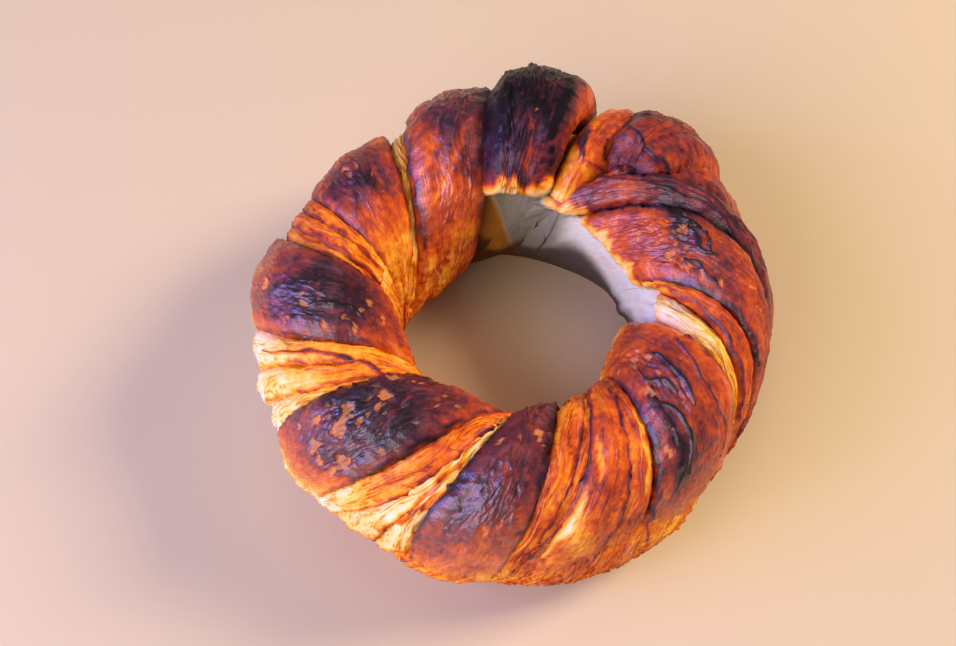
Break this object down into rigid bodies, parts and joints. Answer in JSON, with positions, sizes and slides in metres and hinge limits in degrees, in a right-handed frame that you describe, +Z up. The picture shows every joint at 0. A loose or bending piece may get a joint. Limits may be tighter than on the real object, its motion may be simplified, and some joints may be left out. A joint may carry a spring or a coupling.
{
  "type": "ring danish",
  "caption": "Ring-shaped laminated pastry, twisted from overlapping folds that lean round an open hole, with a flat underside.",
  "frame": {"origin": "centre of the underside of the bounding box, on the surface that the ring stands on; the hole's axis passes 4.2 mm towards -Y of it", "axes": "+Z up along the hole's axis; +Y away from the picture's camera, towards the highest lobe; +X to the picture's right"},
  "size_m": [0.1368, 0.1418, 0.0582],
  "materials": {
    "crust": "egg-washed baked crust, dark brown and glossy on the crests, golden to cream in the folds"
  },
  "bodies": {
    "root": {"twisted_ring": "crust"}
  },
  "joints": []
}
